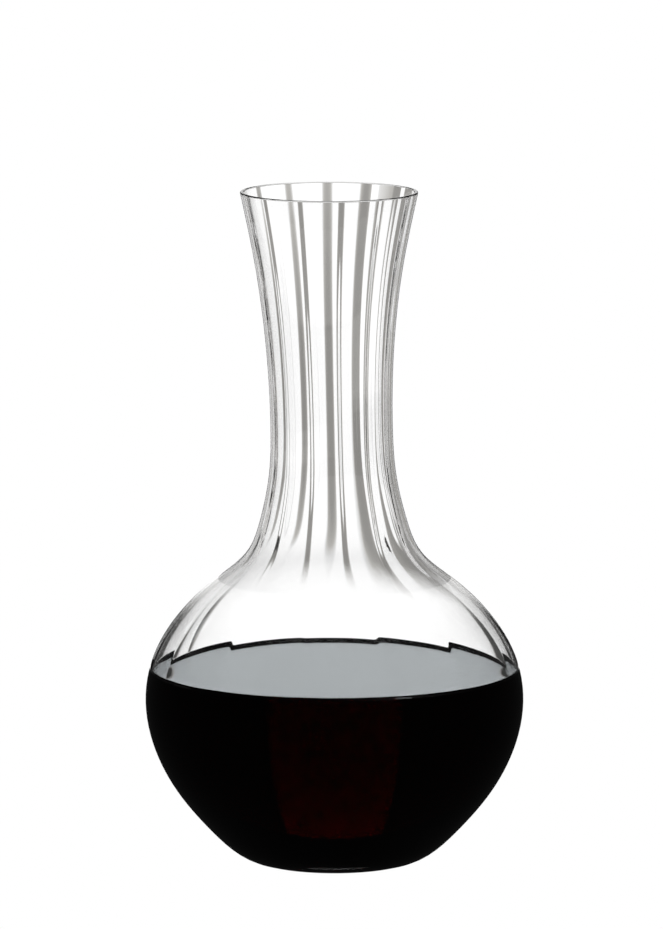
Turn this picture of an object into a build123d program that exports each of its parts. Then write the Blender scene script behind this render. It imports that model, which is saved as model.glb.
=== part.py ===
from build123d import *
import os
from math import cos, radians, sin

# Wine decanter: a vessel blown in one piece of clear glass, round about the Z axis, that stands on
# z = 0 and holds one bottle of red wine. Sizes are in millimetres and angles in degrees.

# The vessel's outside.
HEIGHT = 250.0
FOOT_RADIUS = 26.0
BELLY_RADIUS = 70.1
BELLY_HEIGHT = 61.0
WAIST_RADIUS = 22.6
WAIST_HEIGHT = 161.5
MOUTH_RADIUS = 32.9
MOUTH_LEAN = 12.4

# The glass itself.
WALL = 1.25
BASE_THICKNESS = 5.0
BASE_BLEND_HEIGHT = 36.0
CONTACT_RING_WIDTH = 1.6
KICK = 1.4
RIM_ROUNDING = 0.5

# Low upright ribs inside, pressed into the glass before it was blown out. They are flatter where the
# vessel is wider, and blowing left them with a slight twist between the bulb and the neck.
RIBS = 13
RIB_HALF_ANGLE = 5.8
WAIST_RIB_HEIGHT = 0.3
BULB_TURN = 2.6
NECK_TURN = -2.2
TWIST_START = 90.0
TWIST_END = 150.0
CAVITY_SECTIONS = 32

# The wine: 750 ml fills the vessel to just above its widest point.
FILL_LEVEL = 71.3

# Outside of the wall from the foot up to the mouth, as (radius, height).
OUTLINE = [
    (FOOT_RADIUS, 0.0),
    (46.6, 12.5),
    (62.0, 32.3),
    (BELLY_RADIUS, BELLY_HEIGHT),
    (67.0, 77.0),
    (57.5, 92.5),
    (45.1, 104.5),
    (31.7, 116.5),
    (27.1, 128.0),
    (23.5, 145.0),
    (WAIST_RADIUS, WAIST_HEIGHT),
    (23.5, 190.0),
    (27.5, 223.5),
    (MOUTH_RADIUS, HEIGHT),
]


def upright(radius, height):
    """Point of a profile: radius along X, height along Z."""
    return Vector(radius, 0, height)


def wall_outline():
    """The wall's outside, level where it leaves the foot and leaning outward at the mouth."""
    foot_direction = upright(1, 0)
    mouth_direction = upright(sin(radians(MOUTH_LEAN)), cos(radians(MOUTH_LEAN)))
    points = [upright(radius, height) for radius, height in OUTLINE]
    return Spline(points, tangents=[foot_direction, mouth_direction], tangent_scalars=[1, 1])


def wall_thickness(height):
    """Thickness of the glass: even up the wall, growing smoothly into the heavy base."""
    if height >= BASE_BLEND_HEIGHT:
        return WALL
    blend = (1 - height / BASE_BLEND_HEIGHT) ** 2
    return WALL + (BASE_THICKNESS - WALL) * blend


def rib_turn(height):
    """How far round the first space between ribs stands from the front, which faces -Y."""
    share = min(max((height - TWIST_START) / (TWIST_END - TWIST_START), 0), 1)
    return BULB_TURN + (NECK_TURN - BULB_TURN) * share * share * (3 - 2 * share)


def cavity_section(radius, height):
    """Level section of the cavity: a circle that dips inward over each rib."""
    pitch = 360 / RIBS
    crest_radius = radius - WAIST_RIB_HEIGHT * WAIST_RADIUS / radius
    arcs = []
    for index in range(RIBS):
        space = rib_turn(height) - 90 + index * pitch
        rib = space + pitch / 2
        last_rib_end = Vector(radius, 0).rotate(Axis.Z, rib - pitch + RIB_HALF_ANGLE)
        space_middle = Vector(radius, 0).rotate(Axis.Z, space)
        rib_start = Vector(radius, 0).rotate(Axis.Z, rib - RIB_HALF_ANGLE)
        crest = Vector(crest_radius, 0).rotate(Axis.Z, rib)
        rib_end = Vector(radius, 0).rotate(Axis.Z, rib + RIB_HALF_ANGLE)
        arcs.append(ThreePointArc(last_rib_end, space_middle, rib_start))
        arcs.append(ThreePointArc(rib_start, crest, rib_end))
    return Pos(0, 0, height) * make_face(arcs)


def cavity():
    """The vessel's inside, from the floor to just above the mouth."""
    outline = wall_outline()
    sections = []
    for index in range(CAVITY_SECTIONS):
        station = index / (CAVITY_SECTIONS - 1)
        outside = outline @ station
        direction = outline % station
        thickness = wall_thickness(outside.Z)
        inside = outside + upright(-direction.Z, direction.X) * thickness
        sections.append(cavity_section(inside.X, inside.Z))
    return loft(sections)


def blank():
    """The vessel before it is hollowed: wall outside, flat contact ring and domed underside."""
    ring_inner_radius = FOOT_RADIUS - CONTACT_RING_WIDTH
    outside = wall_outline()
    top = Line(upright(MOUTH_RADIUS, HEIGHT), upright(0, HEIGHT))
    axis = Line(upright(0, HEIGHT), upright(0, KICK))
    dome = TangentArc(upright(0, KICK), upright(ring_inner_radius, 0), tangent=upright(1, 0))
    ring = Line(upright(ring_inner_radius, 0), upright(FOOT_RADIUS, 0))
    return revolve(make_face([outside, top, axis, dome, ring]), Axis.Z)


def glass_vessel(inside):
    """The one piece of glass, with its rim rounded in the flame."""
    vessel = blank() - inside
    top_face = vessel.faces().sort_by(Axis.Z)[-1]
    return fillet(top_face.edges(), RIM_ROUNDING)


def wine(inside):
    """The fill, which touches the glass all round and lies level on top."""
    return split(inside, Plane.XY.offset(FILL_LEVEL), keep=Keep.BOTTOM)


inside = cavity()
parts = {
    "glass_vessel": glass_vessel(inside),
    "wine": wine(inside),
}

os.makedirs("parts", exist_ok=True)
for name, part in parts.items():
    part.label = name
    export_step(part, f"parts/{name}.step")
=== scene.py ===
from math import cos, degrees, pi, radians, sin

import bpy
import numpy as np
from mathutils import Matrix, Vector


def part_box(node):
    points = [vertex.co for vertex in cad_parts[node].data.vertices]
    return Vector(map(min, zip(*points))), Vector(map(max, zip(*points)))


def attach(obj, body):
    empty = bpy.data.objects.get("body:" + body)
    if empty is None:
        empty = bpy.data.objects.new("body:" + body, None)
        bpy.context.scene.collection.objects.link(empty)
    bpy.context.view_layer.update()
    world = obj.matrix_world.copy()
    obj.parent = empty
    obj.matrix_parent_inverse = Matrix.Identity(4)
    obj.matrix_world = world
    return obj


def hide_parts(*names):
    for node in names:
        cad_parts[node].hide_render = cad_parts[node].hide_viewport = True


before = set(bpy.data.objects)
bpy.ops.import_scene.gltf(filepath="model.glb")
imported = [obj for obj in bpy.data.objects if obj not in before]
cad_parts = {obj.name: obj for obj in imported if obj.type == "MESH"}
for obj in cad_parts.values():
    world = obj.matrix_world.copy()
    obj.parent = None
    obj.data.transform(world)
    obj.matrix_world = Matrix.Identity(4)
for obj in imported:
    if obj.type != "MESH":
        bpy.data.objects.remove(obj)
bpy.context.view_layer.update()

# A blown glass decanter with a bottle of red wine in it. The CAD nodes give its place and size; both are
# replaced here by finer meshes of the same shape, so that the glass bends light as smoothly as real glass.
# Sizes are in metres and angles in radians, unless a name says otherwise.

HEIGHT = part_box("glass_vessel")[1][2]
FILL_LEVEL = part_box("wine")[1][2]

# The wall's outside from the foot up to the mouth, in millimetres, as (radius, height).
OUTLINE_MM = [
    (26.0, 0.0),
    (46.6, 12.5),
    (62.0, 32.3),
    (70.1, 61.0),
    (67.0, 77.0),
    (57.5, 92.5),
    (45.1, 104.5),
    (31.7, 116.5),
    (27.1, 128.0),
    (23.5, 145.0),
    (22.6, 161.5),
    (23.5, 190.0),
    (27.5, 223.5),
    (32.9, 250.0),
]
MILLIMETRE = 0.001
MOUTH_LEAN = radians(12.4)

# The glass.
WALL = 0.00125
BASE_THICKNESS = 0.005
BASE_BLEND_HEIGHT = 0.036
KICK = 0.0014
CONTACT_RING_WIDTH = 0.0016
RIM_ROUNDING = 0.0005
RIM_SUPPORT = 0.0001

# The ribs inside. In the neck each is low, round and steeper on one side. In the bulb they are drawn out into
# flat, wide folds that meet. Blowing left a slight twist from bulb to neck.
RIBS = 13
PITCH = 2 * pi / RIBS
NECK_RIB_LEFT = radians(4.4)
NECK_RIB_RIGHT = radians(9.5)
NECK_RIB_HEIGHT = 0.00034
BULB_RIB_HEIGHT = 0.00021
WAIST_RADIUS = 0.0226
BULB_TURN = radians(2.6)
NECK_TURN = radians(-3.4)
CHANGE_START = 0.085
CHANGE_END = 0.125

# The neck leans a little to the left, as hand-blown glass may.
LEAN = 0.002
LEAN_START = 0.09
LEAN_END = 0.23

# The wine: a meniscus climbs the glass, and the contact is optical, without a film of air.
MENISCUS_HEIGHT = 0.0012
MENISCUS_REACH = 0.0018
MENISCUS_STEPS = [0.1, 0.25, 0.45, 0.7, 1.0, 1.4, 1.9, 2.5, 3.3, 4.5]
MENISCUS_END = 6
WINE_OVERLAP = 0.00003

# How fine the meshes are.
RIB_COLUMNS = 20
SPACE_COLUMNS = 12
WALL_ROWS = 100
RIM_ROWS = 9


# ---- Shape ----------------------------------------------------------------------------------------------

def smooth_line(points, first_direction, last_direction, stations):
    """Places and directions along a cubic spline through the points, with the end directions given."""
    points = np.array(points)
    spans = np.diff(points, axis=0)
    lengths = np.hypot(spans[:, 0], spans[:, 1])
    slopes = spans / lengths[:, None]
    count = len(points)
    matrix = np.zeros((count, count))
    right_side = np.zeros((count, 2))
    matrix[0, 0] = 1
    matrix[-1, -1] = 1
    right_side[0] = first_direction
    right_side[-1] = last_direction
    for i in range(1, count - 1):
        matrix[i, i - 1] = lengths[i]
        matrix[i, i] = 2 * (lengths[i - 1] + lengths[i])
        matrix[i, i + 1] = lengths[i - 1]
        right_side[i] = 3 * (lengths[i] * slopes[i - 1] + lengths[i - 1] * slopes[i])
    tangents = np.linalg.solve(matrix, right_side)
    ends = np.concatenate([[0], np.cumsum(lengths)])
    along = stations * ends[-1]
    span = np.clip(np.searchsorted(ends, along, side="right") - 1, 0, count - 2)
    length = lengths[span][:, None]
    t = (along - ends[span])[:, None] / length
    start, end = points[span], points[span + 1]
    start_pull, end_pull = length * tangents[span], length * tangents[span + 1]
    places = (
        (2 * t**3 - 3 * t**2 + 1) * start
        + (t**3 - 2 * t**2 + t) * start_pull
        + (3 * t**2 - 2 * t**3) * end
        + (t**3 - t**2) * end_pull
    )
    directions = (
        (6 * t**2 - 6 * t) * (start - end)
        + (3 * t**2 - 4 * t + 1) * start_pull
        + (3 * t**2 - 2 * t) * end_pull
    )
    return places, directions / np.hypot(directions[:, 0], directions[:, 1])[:, None]


def wall_thickness(height):
    """Thickness of the glass: even up the wall, growing smoothly into the heavy base."""
    blend = np.clip(1 - height / BASE_BLEND_HEIGHT, 0, 1) ** 2
    return WALL + (BASE_THICKNESS - WALL) * blend


def wall_lines(rows):
    """Outside of the wall, and its inside between the ribs, as (radius, height) rows."""
    points = np.array(OUTLINE_MM) * MILLIMETRE
    mouth_direction = (sin(MOUTH_LEAN), cos(MOUTH_LEAN))
    outside, directions = smooth_line(points, (1, 0), mouth_direction, np.linspace(0, 1, rows))
    inward = np.stack([-directions[:, 1], directions[:, 0]], axis=1)
    return outside, outside + inward * wall_thickness(outside[:, 1])[:, None]


def column_angles():
    """Angles of the mesh's columns, closer together over the ribs. Angle 0 is midway between two ribs."""
    rib_start = PITCH / 2 - NECK_RIB_LEFT
    rib_end = PITCH / 2 + NECK_RIB_RIGHT
    rib = np.linspace(rib_start, rib_end, RIB_COLUMNS, endpoint=False)
    space = np.linspace(rib_end, rib_start + PITCH, SPACE_COLUMNS, endpoint=False)
    turns = np.arange(RIBS)[:, None] * PITCH
    return (np.concatenate([rib, space]) + turns).ravel()


OUTSIDE, INSIDE = wall_lines(WALL_ROWS)
AROUND = column_angles()
COLUMNS = len(AROUND)


def gradual(height, start, end):
    """0 below the start, 1 above the end, and a smooth change between them."""
    t = np.clip((height - start) / (end - start), 0, 1)
    return t * t * (3 - 2 * t)


def rib_turn(height):
    """How far round the first space between ribs stands from the front, which faces -Y."""
    return BULB_TURN + (NECK_TURN - BULB_TURN) * gradual(height, CHANGE_START, CHANGE_END)


def ribbed(radius, height):
    """Inner radius of every column, where the wall between the ribs has the given radius."""
    neck = gradual(height, CHANGE_START, CHANGE_END)
    from_rib = AROUND % PITCH - PITCH / 2
    neck_width = np.where(from_rib < 0, NECK_RIB_LEFT, NECK_RIB_RIGHT)
    width = PITCH / 2 + (neck_width - PITCH / 2) * neck
    away = np.clip(np.abs(from_rib) / width, 0, 1)
    folded = BULB_RIB_HEIGHT * (1 - away) ** 2
    rounded = NECK_RIB_HEIGHT * WAIST_RADIUS / radius * (1 + np.cos(pi * away)) / 2
    return radius - folded - (rounded - folded) * neck


def ring(radius, height):
    """One level ring of points. Radius and height are numbers or one value for each column."""
    level = height if np.isscalar(height) else height.mean()
    angle = AROUND + rib_turn(level) - pi / 2
    height = np.full(COLUMNS, height)
    middle = -LEAN * gradual(level, LEAN_START, LEAN_END)
    return np.stack([middle + radius * np.cos(angle), radius * np.sin(angle), height], axis=1)


def skin(name, rings, slots):
    """A closed, smooth mesh over rings from one pole to the other. Slots is one value or one a band."""
    first_pole = [[0, 0, rings[0][0, 2]]]
    last_pole = [[0, 0, rings[-1][0, 2]]]
    points = np.concatenate(rings + [first_pole, last_pole])
    columns = np.arange(COLUMNS)
    following = (columns + 1) % COLUMNS
    poles = COLUMNS * len(rings)
    faces = [(poles, b, a) for a, b in zip(columns, following)]
    for row in range(len(rings) - 1):
        low, high = row * COLUMNS, (row + 1) * COLUMNS
        faces += [(low + a, low + b, high + b, high + a) for a, b in zip(columns, following)]
    top = (len(rings) - 1) * COLUMNS
    faces += [(poles + 1, top + a, top + b) for a, b in zip(columns, following)]
    mesh = bpy.data.meshes.new(name)
    mesh.from_pydata(points.tolist(), [], [tuple(int(i) for i in face) for face in faces])
    mesh.polygons.foreach_set("use_smooth", [True] * len(faces))
    mesh.polygons.foreach_set("material_index", np.repeat(np.full(len(rings) + 1, slots), COLUMNS))
    mesh.validate()
    mesh.update()
    piece = bpy.data.objects.new(name, mesh)
    bpy.context.scene.collection.objects.link(piece)
    return piece


# ---- Pieces ---------------------------------------------------------------------------------------------

FOOT_RADIUS = OUTSIDE[0, 0]
RING_INNER_RADIUS = FOOT_RADIUS - CONTACT_RING_WIDTH
FLOOR = INSIDE[0, 1]
CONTACT_HEIGHT = FILL_LEVEL + MENISCUS_HEIGHT
RIM_START = HEIGHT - RIM_ROUNDING
SPOKES = np.linspace(0.05, 0.95, 8)
CLEAR, WETTED = 0, 1
IN_AIR = "in_air"


def outer_radius(height):
    """Outer radius of the wall at one height."""
    return np.interp(height, OUTSIDE[:, 1], OUTSIDE[:, 0])


def inner_radius(height):
    """Inner radius of the wall, all round, at one height above the floor."""
    return ribbed(np.interp(height, INSIDE[:, 1], INSIDE[:, 0]), height)


def inner_heights(lowest, highest):
    """Heights of the rows of the wall's inside between two limits, the limits included."""
    between = INSIDE[(INSIDE[:, 1] > lowest) & (INSIDE[:, 1] < highest), 1]
    return [lowest, *between, highest]


def make_vessel():
    """The glass, from the middle of its underside out, up, over the rim, down inside and over the floor."""
    underside = [ring(share * RING_INNER_RADIUS, KICK * (1 - share**2)) for share in [*SPOKES, 1.0]]
    outside = [ring(radius, height) for radius, height in OUTSIDE if height < RIM_START]
    outer_edge = outer_radius(RIM_START)
    inner_edge = inner_radius(RIM_START)
    below = RIM_START - RIM_SUPPORT
    outside.append(ring(outer_radius(below), below))
    rim = []
    for angle in np.linspace(0, pi, RIM_ROWS):
        radius = (outer_edge + inner_edge) / 2 + (outer_edge - inner_edge) / 2 * cos(angle)
        rim.append(ring(radius, RIM_START + RIM_ROUNDING * sin(angle)))
    dry = [ring(inner_radius(z), z) for z in reversed(inner_heights(CONTACT_HEIGHT, below))]
    wet = [ring(inner_radius(z), z) for z in reversed(inner_heights(FLOOR, CONTACT_HEIGHT)[:-1])]
    floor = [ring(inner_radius(FLOOR) * share, FLOOR) for share in reversed(SPOKES)]
    clear_rings = underside + outside + rim + dry
    wetted_rings = wet + floor
    slots = [CLEAR] * len(clear_rings) + [WETTED] * (len(wetted_rings) + 1)
    return skin("vessel", clear_rings + wetted_rings, slots)


def make_wine():
    """The wine, from the middle of the floor out, up the wall, and in over the meniscus to the middle."""
    bottom = FLOOR - WINE_OVERLAP
    floor = [ring(inner_radius(FLOOR) * share, bottom) for share in SPOKES]
    sides = [ring(inner_radius(z) + WINE_OVERLAP, z) for z in inner_heights(FLOOR, CONTACT_HEIGHT)]
    edge = inner_radius(CONTACT_HEIGHT)
    surface = []
    for distance in MENISCUS_REACH * np.array(MENISCUS_STEPS):
        rise = MENISCUS_HEIGHT * np.exp(-distance / MENISCUS_REACH)
        surface.append(ring(edge - distance, FILL_LEVEL + rise))
    middle = edge - MENISCUS_END * MENISCUS_REACH
    surface += [ring(middle * share, FILL_LEVEL) for share in reversed(SPOKES)]
    fill = skin("wine_fill", floor + sides + surface, 0)
    in_air = np.repeat([0.0, 1.0], [COLUMNS * (len(floor) + len(sides)), COLUMNS * (len(surface) + 1)])
    fill.data.attributes.new(IN_AIR, "FLOAT", "FACE").data.foreach_set("value", in_air)
    return fill


# ---- Materials ------------------------------------------------------------------------------------------

GLASS_IOR = 1.5
WINE_IOR = 1.345
WINE_COLOUR = (0.72, 0.04, 0.06, 1)
WINE_DEPTH = 162


class Nodes:
    """Short ways to add nodes to one tree, which starts empty."""

    def __init__(self, tree):
        self.tree = tree
        self.tree.nodes.clear()

    def add(self, kind, **settings):
        node = self.tree.nodes.new(kind)
        for name, value in settings.items():
            setattr(node, name, value)
        return node

    def feed(self, socket, value):
        """Link a node's output to the socket, or set the socket to a plain value."""
        if isinstance(value, bpy.types.NodeSocket):
            self.tree.links.new(value, socket)
        else:
            socket.default_value = value

    def bending(self, kind, ior):
        """A perfectly smooth shader that bends light."""
        node = self.add(kind)
        node.inputs["IOR"].default_value = ior
        node.inputs["Roughness"].default_value = 0.0
        return node.outputs["BSDF"]

    def mix_shaders(self, share, first, second):
        node = self.add("ShaderNodeMixShader")
        self.feed(node.inputs["Fac"], share)
        self.feed(node.inputs[1], first)
        self.feed(node.inputs[2], second)
        return node.outputs["Shader"]

    def maths(self, operation, *values):
        node = self.add("ShaderNodeMath", operation=operation)
        for socket, value in zip(node.inputs, values):
            self.feed(socket, value)
        return node.outputs[0]

    def product(self, first, *others):
        for other in others:
            first = self.maths("MULTIPLY", first, other)
        return first

    def brightest(self, first, second):
        return self.maths("MAXIMUM", first, second)

    def dot(self, vector, direction):
        node = self.add("ShaderNodeVectorMath", operation="DOT_PRODUCT")
        self.feed(node.inputs[0], vector)
        self.feed(node.inputs[1], direction)
        return node.outputs["Value"]

    def rising(self, value, low, high):
        """0 on low's side, 1 on high's side, and a smooth change between them. Low may be the greater."""
        node = self.add("ShaderNodeMapRange", interpolation_type="SMOOTHSTEP")
        self.feed(node.inputs["Value"], value)
        self.feed(node.inputs["From Min"], low)
        self.feed(node.inputs["From Max"], high)
        return node.outputs["Result"]

    def between(self, value, low, high):
        """1 between low and high and 0 beyond, with soft edges."""
        after = self.rising(value, low - EDGE_SOFTNESS, low + EDGE_SOFTNESS)
        before = self.rising(value, high + EDGE_SOFTNESS, high - EDGE_SOFTNESS)
        return self.product(after, before)

    def ramp(self, share, stops):
        """A colour that changes with share through these stops, given as (share, colour)."""
        node = self.add("ShaderNodeValToRGB")
        elements = node.color_ramp.elements
        elements.remove(elements[1])
        for index, (place, colour) in enumerate(stops):
            element = elements[0] if index == 0 else elements.new(place)
            element.position = place
            element.color = (*colour, 1)
        self.feed(node.inputs["Fac"], share)
        return node.outputs["Color"]

    def across(self, angle, lights):
        """The brightness at this angle from the middle line, negative to the left."""
        share = self.maths("DIVIDE", self.maths("ADD", angle, ACROSS_LIMIT), 2 * ACROSS_LIMIT)
        stops = []
        for degree, light in lights:
            stops.append(((degree + ACROSS_LIMIT) / (2 * ACROSS_LIMIT), (light, light, light)))
        return self.ramp(share, stops)

    def mix(self, share, first, second):
        node = self.add("ShaderNodeMix", data_type="FLOAT")
        self.feed(node.inputs["Factor"], share)
        self.feed(node.inputs["A"], first)
        self.feed(node.inputs["B"], second)
        return node.outputs["Result"]


def material(name):
    """An empty node material, its nodes and its output."""
    made = bpy.data.materials.new(name)
    made.use_nodes = True
    nodes = Nodes(made.node_tree)
    return made, nodes, nodes.add("ShaderNodeOutputMaterial")


def clear_glass():
    """Clean, fire-polished glass against the air."""
    made, nodes, output = material("clear_glass")
    nodes.feed(output.inputs["Surface"], nodes.bending("ShaderNodeBsdfGlass", GLASS_IOR))
    return made


def wetted_glass():
    """Glass that the wine touches. The wine's own side bends the light there, so this lets it pass."""
    made, nodes, output = material("wetted_glass")
    nodes.feed(output.inputs["Surface"], nodes.add("ShaderNodeBsdfTransparent").outputs["BSDF"])
    return made


def red_wine():
    """Deep red wine: its top is against the air, its sides against the glass, and it darkens with depth."""
    made, nodes, output = material("red_wine")
    top = nodes.bending("ShaderNodeBsdfGlass", WINE_IOR)
    side = nodes.bending("ShaderNodeBsdfGlass", WINE_IOR / GLASS_IOR)
    in_air = nodes.add("ShaderNodeAttribute", attribute_name=IN_AIR).outputs["Fac"]
    nodes.feed(output.inputs["Surface"], nodes.mix_shaders(in_air, side, top))
    depth = nodes.add("ShaderNodeVolumeAbsorption")
    depth.inputs["Color"].default_value = WINE_COLOUR
    depth.inputs["Density"].default_value = WINE_DEPTH
    nodes.feed(output.inputs["Volume"], depth.outputs["Volume"])
    return made


# ---- Studio ---------------------------------------------------------------------------------------------

# Bright-field light: the camera sees white all round, and through the glass it sees a dim room with tall
# bright windows, so the glass shows the windows' edges. The neck, the upper bulb and the wine each have their
# own window. Angles here are in degrees. A view looks along +Y at azimuth 0 and along -X at azimuth 90, and
# its elevation is how far down it looks.

# The neck's and the bulb's windows are repeated for these views, given as (azimuth, elevations). The wine and
# whatever mirrors the room have a window for the front view only.
VIEWS = [(0, (3, 8.3)), (45, (25,)), (90, (3,)), (225, (15,))]
FRONT_VIEW = 0

# Brightness from left to right of a view's middle line, as (angle, share). The neck's window has a dark strip
# right of its middle.
NECK_WINDOW = [
    (-61, 0.0), (-52, 0.5), (-20, 0.6), (-13, 1.0), (0.4, 1.0), (1.5, 0.42), (3, 0.28), (6.8, 0.26),
    (8.2, 1.0), (12, 1.0), (19, 0.4), (52, 0.3), (61, 0.0)
]
BULB_WINDOW = [
    (-61, 0.0), (-30, 0.05), (-5.2, 0.1), (-4.1, 1.0), (5.6, 1.0), (6.7, 0.1), (30, 0.05), (61, 0.0)
]
WINE_WINDOW = [
    (-61, 0.0), (-30, 0.02), (-10.9, 0.05), (-10.4, 1.0), (10.4, 1.0), (10.9, 0.05), (30, 0.02), (61, 0.0)
]
ACROSS_LIMIT = 61

# How far the windows reach below the lowest line of sight and above the highest one. The bulb's upper window
# shows in the top of the wine, so it is as far above the horizon as the view looks down.
NECK_REACH = (4, 6)
BULB_REACH = (8, 8)
UPPER_REACH = (5, 6)
WINE_REACH = (6, 14)
MIRRORED_HEIGHTS = (2, 14)
EDGE_SOFTNESS = 0.3

NECK_LIGHT = 1.15
BULB_LIGHT = 1.2
UPPER_LIGHT = 1.32
WINE_LIGHT = 1.13
ROOM_LIGHT = 0.02
MIRRORED_LIGHT = 0.01

# Pale light from above, and from below the window, shows in the rounded rim.
PALE_LIGHT = 0.8
PALE_ABOVE = (3, 91)
PALE_BELOW = (-61, -16)
PALE_BELOW_ACROSS = (-28, 28)

# The table top, seen straight down through the glass.
TABLE_LIGHT = 0.9
TABLE_HEIGHTS = (-91, -60)

# The light's tint by its brightness: dim light is warm, and the brightest is cool.
TINTS = [
    (0.0, (1, 1, 1)), (0.2, (1, 0.975, 0.93)), (0.5, (1, 0.975, 0.93)), (0.9, (1, 1, 1)), (1.22, (1, 1, 1)),
    (1.3, (0.94, 1, 1.03))
]
TINT_LIMIT = 1.5

# Two clear screens close round the vessel, unseen by the camera, tell what a ray leaves: it passes both of
# them from the wine, the outer one from the upper bulb, and none from the neck. Each is (distance from the
# glass, top, fade). Over fade below and above its top it changes into a surface that isn't counted.
BULB_SCREEN = (0.003, 0.098, 0.008)
WINE_SCREEN = (0.002, 0.0722, 0.0001)
SCREEN_BOTTOM = -0.03
UNCOUNTED_IOR = 1.0003
PASSED_BULB_SCREEN = 0.5
PASSED_BOTH_SCREENS = 1.5

FLOOR_HALF = 30.0

CAMERA_LENS = 322
CAMERA_PLACE = (-0.0011, -3.0397, 0.5908)
CAMERA_LOOKS_DOWN = 8.28
CAMERA_REACH = 100

MOST_BOUNCES = 24
MOST_REFLECTIONS = 16


def angle_from_middle(nodes, direction, azimuth):
    """How far right of a view's middle line a direction points."""
    turn = radians(azimuth)
    right = nodes.dot(direction, (cos(turn), sin(turn), 0))
    ahead = nodes.dot(direction, (-sin(turn), cos(turn), 0))
    return nodes.product(nodes.maths("ARCTAN2", right, ahead), degrees(1))


def make_world():
    """White all round for the camera, and the windows for what is seen through the glass."""
    world = bpy.data.worlds.new("studio")
    bpy.context.scene.world = world
    world.use_nodes = True
    nodes = Nodes(world.node_tree)
    direction = nodes.add("ShaderNodeTexCoord").outputs["Generated"]
    elevation = nodes.product(nodes.maths("ARCSINE", nodes.dot(direction, (0, 0, 1))), degrees(1))
    neck = nodes.brightest(nodes.product(nodes.between(elevation, *PALE_ABOVE), PALE_LIGHT), ROOM_LIGHT)
    bulb = ROOM_LIGHT
    for azimuth, elevations in VIEWS:
        angle = angle_from_middle(nodes, direction, azimuth)
        least, most = min(elevations), max(elevations)
        at_neck = nodes.between(elevation, -most - NECK_REACH[0], -least + NECK_REACH[1])
        at_bulb = nodes.between(elevation, -most - BULB_REACH[0], -least + BULB_REACH[1])
        at_upper = nodes.between(elevation, least - UPPER_REACH[0], most + UPPER_REACH[1])
        neck_window = nodes.product(nodes.across(angle, NECK_WINDOW), at_neck, NECK_LIGHT)
        bulb_across = nodes.across(angle, BULB_WINDOW)
        bulb_window = nodes.product(bulb_across, at_bulb, BULB_LIGHT)
        upper_window = nodes.product(bulb_across, at_upper, UPPER_LIGHT)
        neck = nodes.brightest(neck, neck_window)
        bulb = nodes.brightest(bulb, nodes.brightest(bulb_window, upper_window))
        if azimuth == FRONT_VIEW:
            wine_across = nodes.across(angle, WINE_WINDOW)
            at_wine = nodes.between(elevation, -most - WINE_REACH[0], most + WINE_REACH[1])
            wine = nodes.product(wine_across, at_wine, WINE_LIGHT)
            at_mirrored = nodes.between(elevation, *MIRRORED_HEIGHTS)
            mirrored = nodes.brightest(nodes.product(wine_across, at_mirrored), MIRRORED_LIGHT)
            at_below = nodes.between(elevation, *PALE_BELOW)
            below_across = nodes.between(angle, *PALE_BELOW_ACROSS)
            neck = nodes.brightest(neck, nodes.product(below_across, at_below, PALE_LIGHT))
    ray = nodes.add("ShaderNodeLightPath")
    passed = ray.outputs["Transparent Depth"]
    light = nodes.mix(nodes.maths("GREATER_THAN", passed, PASSED_BULB_SCREEN), neck, bulb)
    light = nodes.mix(nodes.between(elevation, *TABLE_HEIGHTS), light, TABLE_LIGHT)
    light = nodes.mix(nodes.maths("GREATER_THAN", passed, PASSED_BOTH_SCREENS), light, wine)
    light = nodes.mix(ray.outputs["Is Reflection Ray"], light, mirrored)
    light = nodes.mix(ray.outputs["Is Camera Ray"], light, 1.0)
    tints = [(brightness / TINT_LIMIT, colour) for brightness, colour in TINTS]
    background = nodes.add("ShaderNodeBackground")
    nodes.feed(background.inputs["Color"], nodes.ramp(nodes.maths("DIVIDE", light, TINT_LIMIT), tints))
    nodes.feed(background.inputs["Strength"], light)
    output = nodes.add("ShaderNodeOutputWorld")
    nodes.feed(output.inputs["Surface"], background.outputs["Background"])


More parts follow.
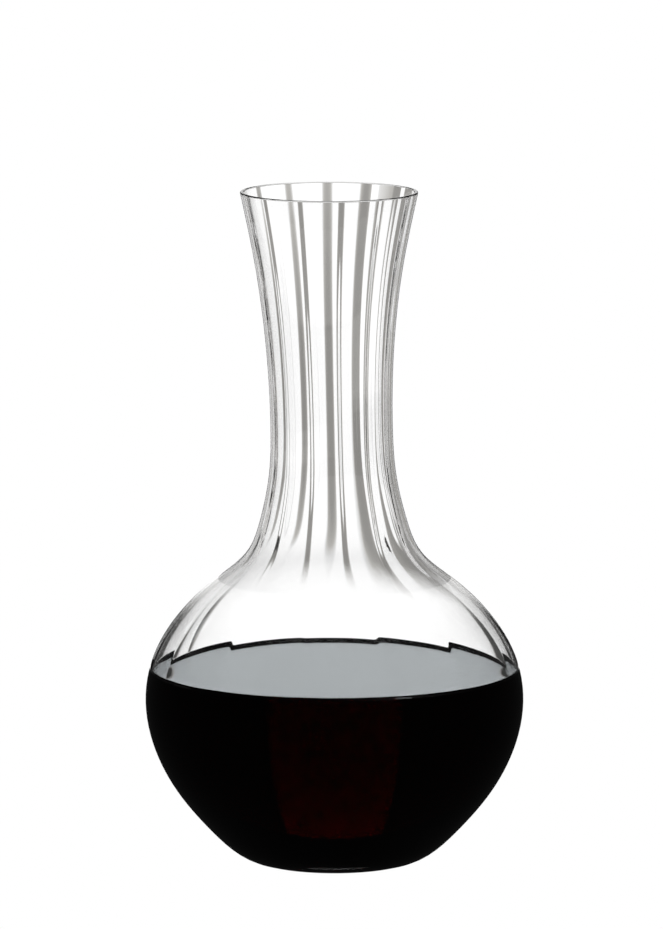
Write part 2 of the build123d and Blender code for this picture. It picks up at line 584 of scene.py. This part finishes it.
def make_screen(name, distance, top, fade):
    """A clear screen round the vessel, up to a little above top, that only counts the rays that pass it."""
    wall = [(radius + distance, height) for radius, height in OUTSIDE if height < top + fade]
    wall.append((outer_radius(top + fade) + distance, top + fade))
    rings = [ring(FOOT_RADIUS + distance, SCREEN_BOTTOM), *(ring(radius, height) for radius, height in wall)]
    screen = skin(name, rings, 0)
    screen.visible_camera = False
    made, nodes, output = material(name)
    height = nodes.add("ShaderNodeSeparateXYZ")
    nodes.feed(height.inputs[0], nodes.add("ShaderNodeNewGeometry").outputs["Position"])
    above = nodes.rising(height.outputs["Z"], top - fade, top + fade)
    counted = nodes.add("ShaderNodeBsdfTransparent").outputs["BSDF"]
    uncounted = nodes.bending("ShaderNodeBsdfRefraction", UNCOUNTED_IOR)
    nodes.feed(output.inputs["Surface"], nodes.mix_shaders(above, counted, uncounted))
    screen.data.materials.append(made)


def make_floor():
    """A plain white table top, lit so evenly that it has no shadow. Only the camera sees it."""
    corners = [(x * FLOOR_HALF, y * FLOOR_HALF, 0) for x, y in ((-1, -1), (1, -1), (1, 1), (-1, 1))]
    mesh = bpy.data.meshes.new("floor")
    mesh.from_pydata(corners, [], [(0, 1, 2, 3)])
    floor = bpy.data.objects.new("floor", mesh)
    bpy.context.scene.collection.objects.link(floor)
    floor.visible_transmission = False
    floor.visible_glossy = False
    made, nodes, output = material("floor")
    nodes.feed(output.inputs["Surface"], nodes.add("ShaderNodeEmission").outputs["Emission"])
    floor.data.materials.append(made)


def make_camera():
    """A long lens from a little above the rim, looking down at the middle of the vessel."""
    camera = bpy.data.cameras.new("camera")
    camera.lens = CAMERA_LENS
    camera.clip_end = CAMERA_REACH
    place = bpy.data.objects.new("camera", camera)
    place.location = CAMERA_PLACE
    place.rotation_euler = (radians(90 - CAMERA_LOOKS_DOWN), 0, 0)
    bpy.context.scene.collection.objects.link(place)
    bpy.context.scene.camera = place


# ---- The whole ------------------------------------------------------------------------------------------

vessel = make_vessel()
vessel.data.materials.append(clear_glass())
vessel.data.materials.append(wetted_glass())
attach(vessel, "root")
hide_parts("glass_vessel")

wine = make_wine()
wine.data.materials.append(red_wine())
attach(wine, "root")
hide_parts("wine")

make_floor()
make_screen("bulb_screen", *BULB_SCREEN)
make_screen("wine_screen", *WINE_SCREEN)
make_world()
make_camera()
scene = bpy.context.scene
scene.view_settings.view_transform = "Standard"
scene.cycles.max_bounces = MOST_BOUNCES
scene.cycles.transmission_bounces = MOST_BOUNCES
scene.cycles.glossy_bounces = MOST_REFLECTIONS
scene.cycles.transparent_max_bounces = MOST_BOUNCES
